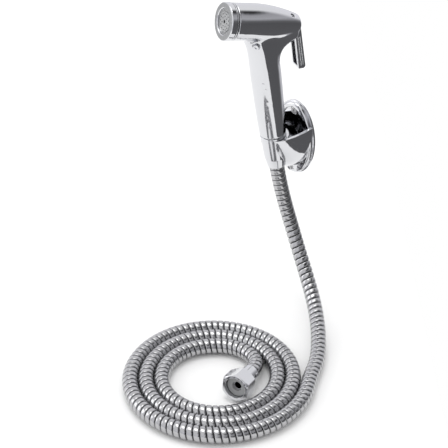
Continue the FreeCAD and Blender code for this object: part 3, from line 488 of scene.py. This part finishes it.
brass = finish_of("machined_brass", (0.66, 0.50, 0.24), (0.80, 0.66, 0.38),
                  metallic=1.0, gloss=(0.16, 0.30), grain_scale=300.0,
                  relief=0.10, edge=0.0003, wear=0.8)
black_rubber = finish_of("black_rubber", (0.022, 0.022, 0.023), (0.05, 0.05, 0.05),
                         metallic=0.0, gloss=(0.55, 0.75), grain_scale=500.0,
                         relief=0.25, edge=0.0003, wear=0.5)
white_plastic = finish_of("moulded_plastic", (0.80, 0.80, 0.77), (0.88, 0.88, 0.86),
                          metallic=0.0, gloss=(0.35, 0.5), grain_scale=250.0,
                          relief=0.1, edge=0.0003, wear=0.3)
give(chrome, "cone_nut", "trim_ring")
give(brass, "hose_tail_top", "inlet_connector")
give(black_rubber, "union_washer", "inlet_o_ring")
give(white_plastic, "riser_tube")


# ---------------------------------------------------------------- hand spray casting
# One hollow chromed casting: round grip, neck and web flowing into the barrel. It is cast and then
# polished by hand, so every join between its forms is a soft one.

SKIN_CELL = 0.0006
WHEEL_PASSES, POLISH_PASSES = 150, 8
casting_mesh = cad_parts["handset_body"].data.copy()
casting_mesh.materials.clear()
casting = bpy.data.objects.new("polished_casting", casting_mesh)
bpy.context.scene.collection.objects.link(casting)
merge = bmesh.new()
merge.from_mesh(casting_mesh)
bmesh.ops.remove_doubles(merge, verts=merge.verts, dist=0.000002)
merge.to_mesh(casting_mesh)
merge.free()
bpy.ops.object.select_all(action="DESELECT")
casting.select_set(True)
bpy.context.view_layer.objects.active = casting
even_skin = casting.modifiers.new("even_skin", "REMESH")
even_skin.mode = "VOXEL"
even_skin.voxel_size = SKIN_CELL
bpy.ops.object.modifier_apply(modifier=even_skin.name)

# The polisher's wheel rounds the joins under the barrel most, and leaves the mouth, the rear and
# the trigger's slot as they were cut.
SEAT = Vector((0.0, -0.0257, -0.0192))
hand_turn = (Matrix.Rotation(math.radians(9.8), 3, "X")
             @ Matrix.Rotation(math.radians(-20.2), 3, "Z"))
barrel_turn = hand_turn @ Matrix.Rotation(math.radians(69.0), 3, "X")
barrel_centre = SEAT + hand_turn @ Vector((0.0, 0.0, 0.1502))


def ease(value, start, end):
    share = min(max((value - start) / (end - start), 0.0), 1.0)
    return share * share * (3 - 2 * share)


PLUG_SPOT = Vector((0.0104, -0.0101, 0.1340))
join_weights = casting.vertex_groups.new(name="joins")
skin_weights = casting.vertex_groups.new(name="skin")
for vertex in casting.data.vertices:
    across, up, forward = barrel_turn.transposed() @ (vertex.co - barrel_centre)
    grip_side, grip_back, rise = hand_turn.transposed() @ (vertex.co - SEAT)
    in_slot = 1.0 - ease(abs(grip_side), 0.0068, 0.0082) if grip_back > 0.019 else 0.0
    share = ease(-up, -0.009, 0.001) * ease(rise, 0.098, 0.110)
    share *= ease(forward, -0.0365, -0.031) * ease(-forward, -0.0225, -0.017) * (1.0 - in_slot)
    from_plug = (Vector((grip_side, grip_back, rise)) - PLUG_SPOT).length
    share *= ease(from_plug, 0.0045, 0.0095)
    if share > 0.0:
        join_weights.add([vertex.index], share, "REPLACE")
    skin_weights.add([vertex.index], ease(-forward, -0.0270, -0.0250), "REPLACE")
for label, group, passes in (("wheel", "joins", WHEEL_PASSES),
                              ("polish", "skin", POLISH_PASSES)):
    smoothing = casting.modifiers.new(label, "SMOOTH")
    smoothing.factor = 0.5
    smoothing.iterations = passes
    smoothing.vertex_group = group
    bpy.ops.object.modifier_apply(modifier=smoothing.name)
bpy.ops.object.shade_smooth()
casting.data.materials.clear()
casting.data.materials.append(chrome)
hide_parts("handset_body")
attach(casting, "handset")
give(chrome, "handset_body", "throat_plug")


# ---------------------------------------------------------------- nozzle
# Screwed chrome nozzle ring over a thin joint ring, and a satin grey spray plate with a raised
# disc of jets round one larger centre jet.

spray_satin = finish_of("spray_satin", (0.36, 0.365, 0.37), (0.52, 0.52, 0.53),
                        metallic=0.75, gloss=(0.26, 0.42), grain_scale=700.0,
                        relief=0.35, edge=0.0002, wear=0.8)
# The ring is chromed all round and its flat front is left satin.
ring_chrome = chrome.copy()
ring_chrome.name = "nozzle_ring_chrome"
tree = ring_chrome.node_tree
way = tree.nodes.new("ShaderNodeTexCoord")
front_facing = tree.nodes.new("ShaderNodeVectorMath")
front_facing.operation = "DOT_PRODUCT"
front_facing.inputs[1].default_value = tuple(barrel_turn @ Vector((0.0, 0.0, 1.0)))
tree.links.new(way.outputs["Normal"], front_facing.inputs[0])
front_mask = tree.nodes.new("ShaderNodeMapRange")
front_mask.inputs["From Min"].default_value = 0.93
front_mask.inputs["From Max"].default_value = 0.98
tree.links.new(front_facing.outputs["Value"], front_mask.inputs["Value"])
ring_shader = tree.nodes["Principled BSDF"]
polished_colour = ring_shader.inputs["Base Color"].links[0].from_socket
polished_gloss = ring_shader.inputs["Roughness"].links[0].from_socket
colours = tree.nodes.new("ShaderNodeMix")
colours.data_type = "RGBA"
tree.links.new(front_mask.outputs["Result"], colours.inputs["Factor"])
tree.links.new(polished_colour, colours.inputs[COLOUR_A])
colours.inputs[COLOUR_B].default_value = (0.30, 0.305, 0.31, 1)
tree.links.new(colours.outputs[COLOUR_OUT], ring_shader.inputs["Base Color"])
glosses = tree.nodes.new("ShaderNodeMix")
tree.links.new(front_mask.outputs["Result"], glosses.inputs["Factor"])
tree.links.new(polished_gloss, glosses.inputs[2])
glosses.inputs[3].default_value = 0.36
tree.links.new(glosses.outputs[0], ring_shader.inputs["Roughness"])
give(ring_chrome, "nozzle_ring")
give(chrome, "joint_ring")
give(spray_satin, "spray_face")

# Painted shade: a thin ring of black rubber material is put in the groove behind the collar to show
# the dark line of shade there.
SHADE_RING_RADIUS, SHADE_RING_DEPTH, SHADE_RING_WALL, SHADE_RING_FORWARD = 0.01535, 0.0024, 0.0010, 0.02870
bpy.ops.object.select_all(action="DESELECT")
bpy.ops.mesh.primitive_cylinder_add(vertices=96, radius=SHADE_RING_RADIUS, depth=SHADE_RING_DEPTH,
                                    end_fill_type="NOTHING")
groove_shade_ring = bpy.context.object
groove_shade_ring.name = "collar_groove_shade"
wall = groove_shade_ring.modifiers.new("wall", "SOLIDIFY")
wall.thickness = SHADE_RING_WALL
wall.offset = -1.0
bpy.ops.object.modifier_apply(modifier=wall.name)
groove_shade_ring.data.transform(Matrix.Translation(barrel_centre) @ barrel_turn.to_4x4()
                      @ Matrix.Translation((0.0, 0.0, SHADE_RING_FORWARD)))
bpy.ops.object.shade_smooth_by_angle(angle=math.radians(40.0))
groove_shade_ring.data.materials.append(black_rubber)
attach(groove_shade_ring, "handset")
give(black_rubber, "face_seal")
give(white_plastic, "spray_strainer")


# ---------------------------------------------------------------- valve
# Turned brass cartridge with its stem, out of sight in the barrel. Moulded rubber rings seal it, a
# gland nut screws it in, and a coiled steel spring closes it.

spring_wire = finish_of("spring_wire", (0.50, 0.50, 0.51), (0.66, 0.66, 0.66),
                        metallic=1.0, gloss=(0.2, 0.34), grain_scale=400.0,
                        relief=0.1, edge=0.0002, wear=0.5)
give(brass, "valve_body", "gland_nut", "valve_stem")
give(black_rubber, "stem_o_ring", "seat_seal")
give(spring_wire, "valve_spring", "trigger_pin")

# In the real valve the spring's rear end moves with the stem and its front end stays against the
# strainer; here the spring is copied out as a piece of its own, its placing baked into its mesh.
spring = bpy.data.objects.new("closing_spring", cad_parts["valve_spring"].data.copy())
bpy.context.scene.collection.objects.link(spring)
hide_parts("valve_spring")
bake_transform(spring)


# ---------------------------------------------------------------- trigger
# Die-cast lever of channel section with a rib along its middle, chromed like the body. It swings
# on a steel pin pressed across the barrel, and a pad on it pushes the valve's stem.

give(chrome, "trigger_lever")


# ---------------------------------------------------------------- supply end
# A chromed sleeve is crimped over the hose and its tail. The turned hex nut spins free on the
# tail's flange, and seals with a grey flat washer.

grey_washer = finish_of("grey_washer", (0.34, 0.345, 0.35), (0.45, 0.45, 0.45),
                        metallic=0.0, gloss=(0.5, 0.7), grain_scale=500.0,
                        relief=0.2, edge=0.0003, wear=0.5)
give(chrome, "supply_sleeve", "supply_nut", "supply_tail")
give(grey_washer, "supply_washer")
